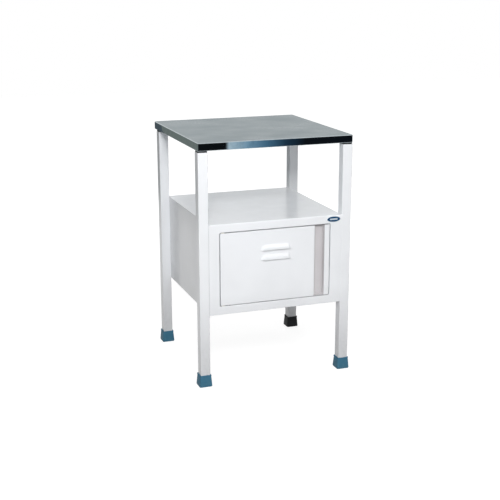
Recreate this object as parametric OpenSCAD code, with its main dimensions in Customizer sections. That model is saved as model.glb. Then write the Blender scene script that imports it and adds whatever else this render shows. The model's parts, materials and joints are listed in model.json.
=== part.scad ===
// Bedside cabinet: a steel box between four square-tube legs, with one flush hinged door,
// an open shelf space above the box and a folded stainless top.
// Millimetres. +X is right, +Y is back, +Z is up. The origin is the centre of the footprint, on the floor.

/* [Overall] */
// Width over the legs
overall_w = 508; // [430:1:620]
// Depth over the legs
legs_d = 482; // [400:1:600]
// Height of the top above the floor
overall_h = 780; // [700:1:950]
// How far the top reaches behind the rear legs
top_back = 26; // [5:1:40]

/* [Legs and shoes] */
// Outside width of the square leg tube
tube = 31.75; // [25.4:0.05:38.1]
// Wall thickness of the leg tube
tube_wall = 1.5; // [1.2:0.1:2]
// Height of a rubber shoe
shoe_h = 38; // [28:1:50]
// Wall thickness of a shoe at its mouth
shoe_wall = 2.2; // [1.6:0.1:3]
// How far a shoe flares out between its mouth and its foot, on each side
shoe_flare = 3; // [1:0.5:5]
// Thickness of the shoe's sole
shoe_sole = 6; // [4:0.5:10]
// Thickness of the plug head between a leg and the top
plug_head = 4.5; // [3:0.5:8]

/* [Top] */
// Depth of the folded rim of the top
rim_h = 25.4; // [22:0.2:38]
// Thickness of the stainless sheet
top_sheet = 1.2; // [0.8:0.1:1.5]
// Outside bend radius of the top
top_bend = 3; // [2:0.5:4]
// Width of the flange turned in under the rim
rim_flange = 26; // [24:1:30]

/* [Box] */
// Height of the shelf's surface above the floor
shelf_z = 526; // [440:1:600]
// Height of the box from its underside to the shelf's surface
box_h = 291; // [240:1:340]
// How far the box reaches behind the front faces of the rear legs
box_back = 14; // [13:0.5:25]
// Thickness of the painted steel sheet
sheet = 1.2; // [0.8:0.1:1.5]
// Width of the flanges that join the sheets of the box
flange = 14; // [12:1:18]

/* [Door] */
// Width of the stile between the left leg and the doorway
stile_left = 33.75; // [32:0.25:45]
// Width of the stile between the doorway and the right leg
stile_right = 37.75; // [32:0.25:45]
// Height of the rails above and below the doorway
rail_h = 26.5; // [24:0.5:32]
// Gap round the door
door_gap = 3; // [2.5:0.1:4]
// Thickness of the door
door_t = 22; // [20:0.5:24]
// Width of the recessed pull
pull_w = 34.6; // [30:0.2:40]
// Width of the strip between the pull and the door's free edge
pull_strip = 17.2; // [14:0.2:24]
// Depth of the recessed pull
pull_depth = 18; // [14:0.5:18]

/* [Louvres] */
// Length of a louvre
louvre_w = 102; // [80:1:120]
// Height of a louvre
louvre_h = 20; // [16:1:24]
// How far a louvre stands out of the door
louvre_out = 6; // [4:0.5:8]
// Spacing of the louvres
louvre_pitch = 31.5; // [28:0.5:40]
// Distance from the door's top edge down to the upper louvre's top
louvre_drop = 45; // [30:1:60]
// Number of louvres
louvre_count = 2; // [1:1:3]

/* [Badge] */
// Width of the blank oval plate
badge_w = 46; // [36:1:50]
// Height of the blank oval plate
badge_h = 19; // [14:0.5:22]

/* [Hidden] */
$fn = 48;

// Clearances
seat = 0.1;          // between sheets and faces that are fixed to each other
tube_fit = 0.2;      // between a tube and the moulding pushed into or over it
thread_fit = 0.05;   // radial, between a fixed pin and its hole
pin_fit = 0.05;      // radial, between a hinge pin and its bush
catch_air = 0.3;     // between the closed door's strike plate and the catch
over = 1;            // how far a cutting shape runs past the face it cuts

// Colours
PAINT = "#f2f3f3";
STEEL = "#9ca2a5";
ZINC = "#b9bcbd";
BLACK = "#1c1e20";
BLUE = "#4a7591";
NYLON = "#e4e1d8";
OVAL_BLUE = "#1f4468";

// Planes of the legs and the box
shoe_out = shoe_wall + tube_fit + shoe_flare;
front_out = max(shoe_out, louvre_out);
front_y = -(legs_d + top_back - front_out) / 2;
rear_y = front_y + legs_d;
leg_x = (overall_w - tube) / 2;
leg_front_y = front_y + tube / 2;
leg_rear_y = rear_y - tube / 2;
leg_top = overall_h - rim_h - plug_head;
box_x = overall_w / 2 - tube - seat;
box_z = shelf_z - box_h;
box_rear_y = rear_y - tube + box_back;

// Doorway and door
way_l = -overall_w / 2 + tube + stile_left;
way_r = overall_w / 2 - tube - stile_right;
way_bottom = box_z + rail_h;
way_top = shelf_z - rail_h;
way_round = 5;
jamb_d = 14;
door_l = way_l + door_gap;
door_r = way_r - door_gap;
door_bottom = way_bottom + door_gap;
door_top = way_top - door_gap;
door_h = door_top - door_bottom;
door_mid_x = (door_l + door_r) / 2;
door_back_y = front_y + door_t;
pull_r = door_r - pull_strip;
pull_l = pull_r - pull_w;
liner_y = door_back_y - sheet;

// Hinge: a pin at each end of the door, close to its left edge
pin_r = 2.5;
pin_x = door_l + 9;
pin_y = front_y + 6;
bush_r = 4;
bush_flange_r = 5.6;
bracket_t = 3;
bracket_w = 34;
bracket_d = 12;
block_w = 26;
block_h = 16;
block_t = 2;

// Catch, stop and their places
catch_x = (pull_l + door_mid_x) / 2 + 30;
catch_w = 46;
catch_h = 16;
catch_d = 14;
pole_t = 1.2;
strike_w = 40;
strike_t = 1.5;
strike_h = 11;
catch_y = door_back_y + strike_t + catch_air;
tab_t = 1.5;
stop_x = door_mid_x + 40;
stop_w = 24;
buffer_r = 5;
buffer_t = 2;

// Shoes and plugs
shoe_round = 4;
shoe_slice = 0.6;
sole_hollow_d = 2;
plug_l = 22;
plug_round = 5;
stud_sink = 14;
stud_head_r = 6.6;
stud_head_h = 5.3;
stud_spare = 4;

// Fasteners
stud_r = 4;
washer_r = 8;
washer_t = 1.4;
nut_af = 13;
nut_h = 6.5;
screw_r = 2.5;
screw_head_r = 4.5;
screw_head_h = 2.6;
rivet_nut_r = 3.6;
rivet_nut_l = 11;
screw_l = 12;
screw_inset = 34;
rear_screw_y = rear_y - tube + 6.5;
hang_hole_r = 2.2;
hang_hole_up = 6;
hang_hole_in = 9;
rivet_r = 1.6;
rivet_head_r = 3;
rivet_head_h = 1;

// A flat rounded rectangle about the origin, with true arcs at its corners
module rounded_rect(w, d, r) {
    square([w - 2 * r, d], center = true);
    square([w, d - 2 * r], center = true);
    for (sx = [-1, 1], sy = [-1, 1])
        translate([sx * (w / 2 - r), sy * (d / 2 - r)])
            circle(r = r);
}

// A block on z = 0 with rounded upright edges and a rounded top edge
module soft_block(w, d, h, r) {
    x = w / 2 - r;
    y = d / 2 - r;
    translate([-x, -d / 2, 0]) cube([2 * x, d, h - r]);
    translate([-w / 2, -y, 0]) cube([w, 2 * y, h - r]);
    translate([-x, -y, 0]) cube([2 * x, 2 * y, h]);
    for (sx = [-1, 1], sy = [-1, 1])
        translate([sx * x, sy * y, 0]) {
            cylinder(r = r, h = h - r);
            translate([0, 0, h - r]) sphere(r = r);
        }
    for (sy = [-1, 1])
        translate([-x, sy * y, h - r]) rotate([0, 90, 0]) cylinder(r = r, h = 2 * x);
    for (sx = [-1, 1])
        translate([sx * x, -y, h - r]) rotate([-90, 0, 0]) cylinder(r = r, h = 2 * y);
}

// A box given by its low and high corners
module span(low, high) {
    translate(low) cube(high - low);
}

// A hole along an axis, from a point on that axis
module drill(at, turn, r, l) {
    translate(at) rotate(turn) cylinder(r = r, h = l);
}

// Side sx is -1 for left and 1 for right; side sy is -1 for front and 1 for rear
function leg_at(sx, sy) = [sx * leg_x, sy < 0 ? leg_front_y : leg_rear_y, 0];

// Heights of the screws that hold the box to the legs
screw_zs = [box_z + screw_inset, shelf_z - screw_inset];
function screw_y(sy) = sy < 0 ? leg_front_y : rear_screw_y;

// ---- Legs, shoes and plugs ----

module leg(sx, sy) {
    color(PAINT)
    difference() {
        translate(leg_at(sx, sy) + [0, 0, shoe_sole])
            linear_extrude(leg_top - shoe_sole)
                difference() {
                    rounded_rect(tube, tube, 2);
                    rounded_rect(tube - 2 * tube_wall, tube - 2 * tube_wall, 0.6);
                }
        for (z = screw_zs)
            drill([sx * (box_x + seat - over), screw_y(sy), z], [0, sx * 90, 0],
                rivet_nut_r + thread_fit, tube_wall + 2 * over);
        if (sy > 0)
            drill([sx * (box_x + seat - over), rear_y - tube + hang_hole_in, shelf_z + hang_hole_up],
                [0, sx * 90, 0], hang_hole_r, tube_wall + 2 * over);
    }
}

module shoe(sx, sy) {
    mouth = tube + 2 * (tube_fit + shoe_wall);
    foot = mouth + 2 * shoe_flare;
    color(BLUE)
    translate(leg_at(sx, sy))
        difference() {
            hull() {
                linear_extrude(shoe_slice) offset(r = shoe_round, $fn = 32)
                    square(foot - 2 * shoe_round, center = true);
                translate([0, 0, shoe_h - shoe_slice])
                    linear_extrude(shoe_slice) offset(r = shoe_round, $fn = 32)
                        square(mouth - 2 * shoe_round, center = true);
            }
            translate([0, 0, shoe_sole])
                linear_extrude(shoe_h) rounded_rect(tube + 2 * tube_fit, tube + 2 * tube_fit, 2);
            translate([0, 0, -over]) cylinder(r = tube / 3, h = sole_hollow_d + over);
        }
}

module plug(sx, sy) {
    inside = tube - 2 * tube_wall;
    color(BLACK)
    translate(leg_at(sx, sy) + [0, 0, leg_top])
        difference() {
            union() {
                linear_extrude(plug_head - seat / 2) rounded_rect(tube - 1, tube - 1, plug_round);
                translate([0, 0, -plug_l]) linear_extrude(plug_l)
                    rounded_rect(inside - 2 * tube_fit, inside - 2 * tube_fit, 2);
            }
            translate([0, 0, -plug_l - over])
                cylinder(r = stud_r + thread_fit, h = plug_l + 2 * over + plug_head);
            translate([0, 0, -plug_l - over])
                cylinder(r = stud_head_r + 0.4, h = plug_l - stud_sink + over, $fn = 6);
        }
}

// One threaded stud in each plug, with its hexagon head held by the plug
module plug_studs() {
    color(ZINC)
    for (sx = [-1, 1], sy = [-1, 1])
        translate(leg_at(sx, sy) + [0, 0, leg_top]) {
            translate([0, 0, -stud_sink - stud_head_h]) cylinder(r = stud_head_r, h = stud_head_h, $fn = 6);
            translate([0, 0, -stud_sink])
                cylinder(r = stud_r, h = stud_sink + plug_head + top_sheet + 1.5 + nut_h + stud_spare);
        }
}

module stud_nuts() {
    z = overall_h - rim_h + 2 * top_sheet + seat;
    color(ZINC)
    for (sx = [-1, 1], sy = [-1, 1])
        translate([leg_at(sx, sy).x, leg_at(sx, sy).y, z])
            difference() {
                union() {
                    cylinder(r = washer_r, h = washer_t);
                    cylinder(d = nut_af / cos(30), h = washer_t + nut_h, $fn = 6);
                }
                translate([0, 0, -over]) cylinder(r = stud_r + thread_fit, h = nut_h + washer_t + 2 * over);
            }
}

// ---- Top ----

module top_pan() {
    d = legs_d + top_back;
    color(STEEL)
    translate([0, front_y + d / 2, overall_h - rim_h])
        difference() {
            soft_block(overall_w, d, rim_h, top_bend);
            translate([0, 0, top_sheet])
                soft_block(overall_w - 2 * top_sheet, d - 2 * top_sheet, rim_h - 2 * top_sheet,
                    top_bend - top_sheet);
            translate([0, 0, rim_h / 4])
                cube([overall_w - 2 * rim_flange, d - 2 * rim_flange, rim_h], center = true);
            for (sx = [-1, 1], sy = [-1, 1])
                translate([leg_at(sx, sy).x, leg_at(sx, sy).y - front_y - d / 2, -over])
                    cylinder(r = stud_r + 0.3, h = top_sheet + 2 * over);
        }
}

// A folded channel under the top, open towards the middle of the cabinet
module top_channel(sy) {
    low = overall_h - rim_h + top_sheet;
    high = overall_h - top_sheet - seat;
    half = overall_w / 2 - top_sheet - 2;
    mid = leg_at(0, sy).y;
    web = mid + sy * (tube / 2 - 4);
    open = mid - sy * tube / 2;
    color(ZINC)
    difference() {
        span([-half, min(web, open), low], [half, max(web, open), high]);
        span([-half - over, min(web - sy * top_sheet, open - sy * over), low + top_sheet],
            [half + over, max(web - sy * top_sheet, open - sy * over), high - top_sheet]);
        for (sx = [-1, 1])
            translate([sx * leg_x, mid, low - over]) cylinder(r = stud_r + 0.3, h = top_sheet + 2 * over);
    }
}

// ---- Box ----

module shelf_panel() {
    color(PAINT)
    span([-box_x, front_y + 1, shelf_z - sheet], [box_x, box_rear_y, shelf_z]);
}

// A shallow tray of sheet: its outer face is the side of the box, its four flanges turn in
module side_panel(sx) {
    low = box_z;
    high = shelf_z - sheet;
    front = front_y + sheet;
    rear = box_rear_y - sheet;
    color(PAINT)
    difference() {
        span([min(sx * box_x, sx * (box_x - flange)), front, low],
            [max(sx * box_x, sx * (box_x - flange)), rear, high]);
        span([min(sx * (box_x - sheet), sx * (box_x - flange - over)), front + sheet, low + sheet],
            [max(sx * (box_x - sheet), sx * (box_x - flange - over)), rear - sheet, high - sheet]);
        for (z = screw_zs, sy = [-1, 1])
            drill([sx * (box_x + over), screw_y(sy), z], [0, -sx * 90, 0],
                screw_r + 0.2, sheet + 2 * over);
    }
}

module back_panel() {
    inner = box_x - flange - 0.5;
    color(PAINT) {
        span([-box_x, box_rear_y - sheet, box_z], [box_x, box_rear_y, shelf_z - sheet]);
        for (z = [box_z, shelf_z - 2 * sheet])
            span([-inner, box_rear_y - flange, z], [inner, box_rear_y - sheet, z + sheet]);
    }
}

module bottom_panel() {
    inner = box_x - sheet - seat;
    color(PAINT)
    span([-inner, front_y + 2 * sheet + seat, box_z + sheet],
        [inner, box_rear_y - 2 * sheet - seat, box_z + 2 * sheet]);
}

module front_frame() {
    high = shelf_z - sheet;
    mid = [(way_l + way_r) / 2, (way_bottom + way_top) / 2];
    way_w = way_r - way_l;
    way_h = way_top - way_bottom;
    inner = box_x - flange - 0.5;
    color(PAINT)
    difference() {
        union() {
            span([-box_x, front_y, box_z], [box_x, front_y + sheet, high]);
            for (z = [box_z, high - sheet])
                span([-inner, front_y, z], [inner, front_y + flange, z + sheet]);
            translate([mid.x, front_y + jamb_d + sheet, mid.y]) rotate([90, 0, 0])
                linear_extrude(jamb_d + sheet)
                    rounded_rect(way_w + 2 * sheet, way_h + 2 * sheet, way_round + sheet);
        }
        translate([mid.x, front_y + jamb_d + sheet + over, mid.y]) rotate([90, 0, 0])
            linear_extrude(jamb_d + sheet + 2 * over)
                rounded_rect(way_w, way_h, way_round);
        for (z = [way_bottom - sheet - over, way_top - over])
            translate([pin_x, pin_y, z]) cylinder(r = bush_r + thread_fit, h = sheet + 2 * over);
        for (z = [way_bottom - sheet - over, way_top - over], x = bracket_rivet_xs)
            translate([x, pin_y, z]) cylinder(r = rivet_r + thread_fit, h = sheet + 2 * over);
    }
}

module badge_plate() {
    at = [box_x - 28, front_y - 0.05, shelf_z - 13];
    color(OVAL_BLUE)
    translate(at) rotate([90, 0, 0]) scale([1, badge_h / badge_w, 1])
        cylinder(d = badge_w, h = 1.2, $fn = 64);
}

// Screws through the sides of the box into nuts set in the legs
module body_screws() {
    color(ZINC)
    for (sx = [-1, 1], sy = [-1, 1], z = screw_zs)
        translate([sx * (box_x - sheet - seat / 2), screw_y(sy), z]) rotate([0, sx * 90, 0]) {
            cylinder(r = screw_r, h = screw_l);
            difference() {
                translate([0, 0, -screw_head_h]) cylinder(r = screw_head_r, h = screw_head_h);
                translate([0, 0, -screw_head_h - over]) cylinder(r = 1.7, h = 1.6 + over, $fn = 6);
            }
        }
}

module rivet_nuts() {
    color(ZINC)
    for (sx = [-1, 1], sy = [-1, 1], z = screw_zs)
        translate([sx * (box_x + seat), screw_y(sy), z]) rotate([0, sx * 90, 0])
            difference() {
                cylinder(r = rivet_nut_r, h = rivet_nut_l);
                translate([0, 0, -over]) cylinder(r = screw_r + thread_fit, h = rivet_nut_l + 2 * over);
            }
}

// ---- Hinge ----

bracket_rivet_xs = [pin_x + 12, pin_x + 22];

// A plate on the far side of the doorway's jamb that carries the bush; end is 1 at the top
module hinge_bracket(end) {
    face = end > 0 ? way_top + sheet : way_bottom - sheet - bracket_t;
    color(ZINC)
    translate([0, 0, face])
        difference() {
            span([pin_x - 7, pin_y - bracket_d / 2 + 1.5, 0],
                [pin_x - 7 + bracket_w, pin_y + bracket_d / 2 + 1.5, bracket_t]);
            translate([pin_x, pin_y, -over]) cylinder(r = bush_r + thread_fit, h = bracket_t + 2 * over);
            for (x = bracket_rivet_xs)
                translate([x, pin_y, -over]) cylinder(r = rivet_r + thread_fit, h = bracket_t + 2 * over);
        }
}

module bracket_rivets() {
    grip = sheet + bracket_t;
    color(ZINC)
    for (end = [-1, 1], x = bracket_rivet_xs)
        translate([x, pin_y, end > 0 ? way_top : way_bottom]) mirror([0, 0, end > 0 ? 0 : 1]) {
            translate([0, 0, -rivet_head_h]) cylinder(r = rivet_head_r, h = rivet_head_h);
            cylinder(r = rivet_r, h = grip);
            translate([0, 0, grip]) cylinder(r = rivet_r * 1.5, h = rivet_head_h);
        }
}

// A flanged bush: its flange fills the gap beside the door, its sleeve sits in jamb and bracket
module hinge_bush(end) {
    flange_t = door_gap - 0.2;
    color(NYLON)
    translate([pin_x, pin_y, end > 0 ? way_top : way_bottom]) mirror([0, 0, end > 0 ? 0 : 1])
        difference() {
            union() {
                translate([0, 0, -flange_t]) cylinder(r = bush_flange_r, h = flange_t - seat / 2);
                translate([0, 0, -seat]) cylinder(r = bush_r, h = sheet + bracket_t + 1 + seat);
            }
            translate([0, 0, -flange_t - over])
                cylinder(r = pin_r + pin_fit, h = flange_t + sheet + bracket_t + 1 + 2 * over);
        }
}

// ---- Catch and stop ----

module catch_bracket() {
    low = way_top + sheet;
    color(ZINC)
    span([catch_x - catch_w / 2 - 3, front_y + sheet + 0.5, low],
        [catch_x + catch_w / 2 + 3, catch_y + catch_d + 2, low + tab_t]);
}

catch_screw_xs = [catch_x - catch_w / 2 + 5, catch_x + catch_w / 2 - 5];

module catch_body() {
    high = way_top + sheet;
    color(PAINT)
    difference() {
        span([catch_x - catch_w / 2, catch_y + 0.4, high - catch_h],
            [catch_x + catch_w / 2, catch_y + catch_d, high]);
        span([catch_x - catch_w / 4 - seat, catch_y - over, high - catch_h + 2.5],
            [catch_x + catch_w / 4 + seat, catch_y + catch_d - 2, high - 2.5]);
        for (x = catch_screw_xs)
            drill([x, catch_y + catch_d / 2, high - catch_h - over], [0, 0, 0],
                rivet_r + thread_fit, catch_h + 2 * over);
    }
}

// A magnet between two steel pole plates
module catch_magnet() {
    high = way_top + sheet;
    color(ZINC) {
        for (z = [high - catch_h + 2.6, high - 2.6 - pole_t])
            span([catch_x - catch_w / 4, catch_y, z], [catch_x + catch_w / 4, catch_y + 11, z + pole_t]);
        span([catch_x - catch_w / 4, catch_y + 1, high - catch_h + 3.8],
            [catch_x + catch_w / 4, catch_y + 11, high - 3.8]);
    }
}

module catch_screws() {
    high = way_top + sheet;
    color(ZINC)
    for (x = catch_screw_xs)
        translate([x, catch_y + catch_d / 2, high - catch_h]) {
            translate([0, 0, -1.6]) cylinder(r = 3.2, h = 1.6);
            cylinder(r = rivet_r, h = catch_h);
        }
}

// An angle under the doorway that stands up behind the closed door
module door_stop() {
    high = way_bottom - sheet;
    face = door_back_y + buffer_t + seat;
    color(PAINT) {
        span([stop_x - stop_w / 2, front_y + sheet + 0.5, high - tab_t],
            [stop_x + stop_w / 2, face + tab_t, high]);
        span([stop_x - stop_w / 2, face, high], [stop_x + stop_w / 2, face + tab_t, way_bottom + 22]);
    }
}

module door_buffer() {
    color(BLACK)
    drill([stop_x, door_back_y + seat, way_bottom + 13], [-90, 0, 0], buffer_r, buffer_t);
}

// ---- Door ----

// The plan of the door's folded sheet: its face, in two parts beside the pull, and two side returns
module door_plan() {
    x0 = door_l;
    x1 = door_r;
    r = 2;
    translate([x0 + r, 0]) square([pull_l - sheet - x0 - r, sheet]);
    translate([pull_r + sheet, 0]) square([x1 - r - pull_r - sheet, sheet]);
    translate([x0, r]) square([sheet, door_t - r]);
    translate([x1 - sheet, r]) square([sheet, door_t - r]);
    for (x = [x0 + r, x1 - r])
        translate([x, r]) intersection() {
            difference() {
                circle(r = r);
                circle(r = r - sheet);
            }
            translate([x < door_mid_x ? -r : 0, -r]) square(r);
        }
}

// The recessed pull: a channel welded into the door's face, open at both ends
module pull_channel() {
    color(PAINT)
    translate([0, front_y, door_bottom])
        linear_extrude(door_h)
            difference() {
                translate([pull_l - sheet, 0]) square([pull_w + 2 * sheet, pull_depth + sheet]);
                translate([pull_l, -over]) square([pull_w, pull_depth + over]);
            }
}

// The hollow hood of one louvre; grow is 0 for the outside and the sheet thickness for the inside
module louvre_form(top, grow) {
    w = louvre_w - 2 * grow;
    h = louvre_h - grow;
    low = top - louvre_h - (grow > 0 ? over : 0);
    out = louvre_out - grow;
    hull($fn = 32) {
        translate([-w / 2, 0, low]) cube([w, sheet, h * 0.35]);
        translate([-w / 2 + 12, 0, top - grow - 2]) cube([w - 24, sheet, 2]);
        translate([-w / 2 + 6, -out + 1.5, low]) cube([w - 12, 1, h * 0.2]);
        translate([-w / 2 + 9, -out, low]) cube([w - 18, 1, h * 0.2]);
    }
}

module door_skin() {
    tops = [for (i = [0 : louvre_count - 1]) door_top - louvre_drop - i * louvre_pitch];
    edge = 0.4;
    color(PAINT)
    difference() {
        union() {
            translate([0, front_y, door_bottom]) linear_extrude(door_h) door_plan();
            for (z = [door_bottom, door_top - sheet]) {
                span([door_l + edge, front_y + edge, z], [pull_l - sheet, door_back_y, z + sheet]);
                span([pull_r + sheet, front_y + edge, z], [door_r - edge, door_back_y, z + sheet]);
            }
            for (top = tops)
                translate([door_mid_x, front_y, 0]) louvre_form(top, 0);
        }
        for (top = tops)
            translate([door_mid_x, front_y + 0.02, 0]) louvre_form(top, sheet);
        for (z = [door_bottom - over, door_top - sheet - over])
            translate([pin_x, pin_y, z]) cylinder(r = pin_r + thread_fit, h = sheet + 2 * over);
    }
}

// The plate that closes the back of the door, with its edges folded forward
module door_liner() {
    x0 = door_l + sheet + seat;
    x1 = door_r - sheet - seat;
    z0 = door_bottom + sheet + seat;
    z1 = door_top - sheet - seat;
    lip = 8;
    color(PAINT)
    difference() {
        span([x0, door_back_y - lip, z0], [x1, door_back_y, z1]);
        span([x0 + sheet, door_back_y - lip - over, z0 + sheet], [x1 - sheet, liner_y, z1 - sheet]);
        span([pull_l - sheet - 0.5, door_back_y - lip - over, z0 - over],
            [pull_r + sheet + 0.5, liner_y, z1 + over]);
        for (x = strike_rivet_xs)
            drill([x, liner_y - over, strike_z], [-90, 0, 0], rivet_r + thread_fit, sheet + 2 * over);
    }
}

// A folded block inside the door at each pin; end is 1 at the top
module hinge_block(end) {
    x0 = door_l + sheet + 0.6;
    y0 = front_y + sheet + seat;
    y1 = door_back_y - 9;
    color(ZINC)
    translate([0, 0, end > 0 ? door_top - sheet - seat : door_bottom + sheet + seat])
        mirror([0, 0, end > 0 ? 1 : 0])
            difference() {
                span([x0, y0, 0], [x0 + block_w, y1, block_h]);
                span([x0 - over, y0 - over, block_t],
                    [x0 + block_w - block_t, y1 - block_t, block_h - block_t]);
                for (z = [-over, block_h - block_t - over])
                    translate([pin_x, pin_y, z]) cylinder(r = pin_r + thread_fit, h = block_t + 2 * over);
            }
}

// A pin held in the block, standing out of the door into the bush, with a collar inside the door
module hinge_pin(end) {
    tail = sheet + seat + block_h + 1;
    reach = door_gap + sheet + bracket_t;
    color(ZINC)
    translate([pin_x, pin_y, end > 0 ? door_top : door_bottom])
        mirror([0, 0, end > 0 ? 0 : 1]) {
            translate([0, 0, -tail]) cylinder(r = pin_r, h = tail + reach - 0.5);
            translate([0, 0, reach - 0.5]) cylinder(r1 = pin_r, r2 = pin_r - 0.6, h = 0.6);
            translate([0, 0, -sheet - seat - block_t - 2.1]) cylinder(r = pin_r + 1.3, h = 2);
        }
}

strike_z = door_top - 1.5 - strike_h / 2;
strike_rivet_xs = [catch_x - strike_w / 2 + 5, catch_x + strike_w / 2 - 5];

module strike_plate() {
    color(ZINC)
    difference() {
        span([catch_x - strike_w / 2, door_back_y, strike_z - strike_h / 2],
            [catch_x + strike_w / 2, door_back_y + strike_t, strike_z + strike_h / 2]);
        for (x = strike_rivet_xs)
            drill([x, door_back_y - over, strike_z], [-90, 0, 0], rivet_r + thread_fit, strike_t + 2 * over);
    }
}

module strike_rivets() {
    color(ZINC)
    for (x = strike_rivet_xs)
        translate([x, liner_y, strike_z]) rotate([-90, 0, 0]) {
            translate([0, 0, -rivet_head_h]) cylinder(r = rivet_r * 1.5, h = rivet_head_h);
            cylinder(r = rivet_r, h = sheet + strike_t - 0.1);
        }
}

leg(-1, -1);  // leg_front_left
leg(1, -1);  // leg_front_right
leg(-1, 1);  // leg_rear_left
leg(1, 1);  // leg_rear_right
shoe(-1, -1);  // shoe_front_left
shoe(1, -1);  // shoe_front_right
shoe(-1, 1);  // shoe_rear_left
shoe(1, 1);  // shoe_rear_right
plug(-1, -1);  // plug_front_left
plug(1, -1);  // plug_front_right
plug(-1, 1);  // plug_rear_left
plug(1, 1);  // plug_rear_right
plug_studs();
stud_nuts();
top_pan();
top_channel(-1);  // top_channel_front
top_channel(1);  // top_channel_rear
shelf_panel();
side_panel(-1);  // side_panel_left
side_panel(1);  // side_panel_right
back_panel();
bottom_panel();
front_frame();
body_screws();
rivet_nuts();
badge_plate();
hinge_bracket(1);  // hinge_bracket_upper
hinge_bracket(-1);  // hinge_bracket_lower
bracket_rivets();
hinge_bush(1);  // hinge_bush_upper
hinge_bush(-1);  // hinge_bush_lower
catch_bracket();
catch_body();
catch_magnet();
catch_screws();
door_stop();
door_buffer();
door_skin();
pull_channel();
door_liner();
hinge_block(1);  // hinge_block_upper
hinge_block(-1);  // hinge_block_lower
hinge_pin(1);  // hinge_pin_upper
hinge_pin(-1);  // hinge_pin_lower
strike_plate();
strike_rivets();
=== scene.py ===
"""Bedside cabinet: the visible pieces, their finishes and the stage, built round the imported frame."""

import json
import math

import bmesh
import bpy
from bpy.props import FloatProperty, FloatVectorProperty, IntProperty, PointerProperty
from bpy.types import Operator, Panel, PropertyGroup
from mathutils import Matrix, Vector

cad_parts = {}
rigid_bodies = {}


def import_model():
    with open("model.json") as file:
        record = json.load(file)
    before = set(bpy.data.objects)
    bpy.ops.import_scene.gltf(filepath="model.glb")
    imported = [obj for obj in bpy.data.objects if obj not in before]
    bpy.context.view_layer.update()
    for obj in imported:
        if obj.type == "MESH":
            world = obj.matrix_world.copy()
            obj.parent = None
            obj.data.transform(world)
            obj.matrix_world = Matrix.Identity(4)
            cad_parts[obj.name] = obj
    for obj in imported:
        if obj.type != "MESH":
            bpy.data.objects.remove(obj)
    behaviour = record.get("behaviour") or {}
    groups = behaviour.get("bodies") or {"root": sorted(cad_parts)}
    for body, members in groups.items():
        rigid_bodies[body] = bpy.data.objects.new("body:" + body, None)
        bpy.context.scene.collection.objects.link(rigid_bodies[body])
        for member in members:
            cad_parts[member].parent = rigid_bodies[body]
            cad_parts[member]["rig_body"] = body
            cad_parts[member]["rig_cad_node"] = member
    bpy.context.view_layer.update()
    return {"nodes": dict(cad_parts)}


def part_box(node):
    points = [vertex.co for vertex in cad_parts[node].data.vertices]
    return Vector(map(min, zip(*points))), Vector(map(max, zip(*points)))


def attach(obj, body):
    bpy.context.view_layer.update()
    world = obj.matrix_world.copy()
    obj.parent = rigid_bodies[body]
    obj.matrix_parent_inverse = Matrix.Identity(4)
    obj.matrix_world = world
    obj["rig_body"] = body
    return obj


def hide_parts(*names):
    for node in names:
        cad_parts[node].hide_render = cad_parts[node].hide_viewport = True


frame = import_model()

bl_info = {
    "name": "Bedside cabinet",
    "version": (1, 0, 0),
    "blender": (4, 5, 0),
    "location": "3D View > Sidebar > Cabinet",
    "description": "Builds a steel bedside cabinet with a stainless top and a hinged door",
    "category": "Object",
}

MM = 0.001
TOUCH = 0.02 * MM  # two places closer than this are the same place
WELD = 0.002 * MM  # corners of neighbouring triangles closer than this are one corner
FLAT = math.radians(0.5)  # triangles that turn less than this are one flat face
QUARTER_TURN = math.pi / 2


def linear(code):
    """A colour written as sRGB hex, as linear red, green and blue."""
    parts = [int(code[i : i + 2], 16) / 255 for i in (1, 3, 5)]
    return tuple(c / 12.92 if c <= 0.04045 else ((c + 0.055) / 1.055) ** 2.4 for c in parts)


# ---- What a user would change ----


def length(name, description, millimetres):
    """A length property with its default given in millimetres."""
    return FloatProperty(name=name, description=description, default=millimetres * MM,
                         min=0, precision=5, unit="LENGTH")


def colour(name, description, code):
    """A colour property with its default given as sRGB hex."""
    return FloatVectorProperty(name=name, description=description, default=linear(code),
                               min=0, max=1, subtype="COLOR")


class CabinetSizes(PropertyGroup):
    """Sizes of the folds, edges, pull and louvres."""

    sheet: length("Sheet", "Thickness of the painted and the stainless sheet", 1.2)
    tube_wall: length("Tube wall", "Wall thickness of a leg", 1.5)
    tube_round: length("Tube corner", "Outside corner radius of a leg", 2)
    top_bend: length("Top bend", "Outside bend radius round the top", 3)
    hem_bend: length("Hem bend", "Outside bend radius under the rim of the top", 1.6)
    rim_flange: length("Rim flange", "Width of the flange under the rim of the top", 26)
    shelf_bend: length("Shelf bend", "Outside bend radius from the shelf to the front", 3)
    fold: length("Small folds", "Outside bend radius of the doorway and the side trays", 1.2)
    ease: length("Eased edge", "Rounding of a cut sheet edge under its paint", 0.35)
    flange: length("Flange", "Width of the flanges that join the sheets", 14)
    jamb: length("Jamb", "Depth of the doorway's turned-in edge", 15.2)
    doorway_round: length("Doorway corner", "Corner radius of the doorway", 5)
    door_gap: length("Door gap", "Gap round the door", 3)
    door_bend: length("Door bend", "Outside bend radius of the door's upright edges", 2)
    pull_width: length("Pull width", "Width of the recessed pull", 34.6)
    pull_strip: length("Pull strip", "Strip between the pull and the free edge", 17.2)
    pull_depth: length("Pull depth", "Depth of the recessed pull", 18)
    pull_bend: length("Pull bend", "Radius in the two back corners of the pull", 3)
    louvre_length: length("Louvre length", "Length of a louvre", 102)
    louvre_height: length("Louvre height", "Height of a louvre", 20)
    louvre_out: length("Louvre depth", "How far a louvre stands out of the door", 6)
    louvre_spacing: length("Louvre spacing", "From one louvre to the next", 31.5)
    louvre_drop: length("Louvre drop", "From the door's top edge to the upper louvre", 45)
    louvre_count: IntProperty(name="Louvres", description="How many louvres", default=2, min=1, max=3)


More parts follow.
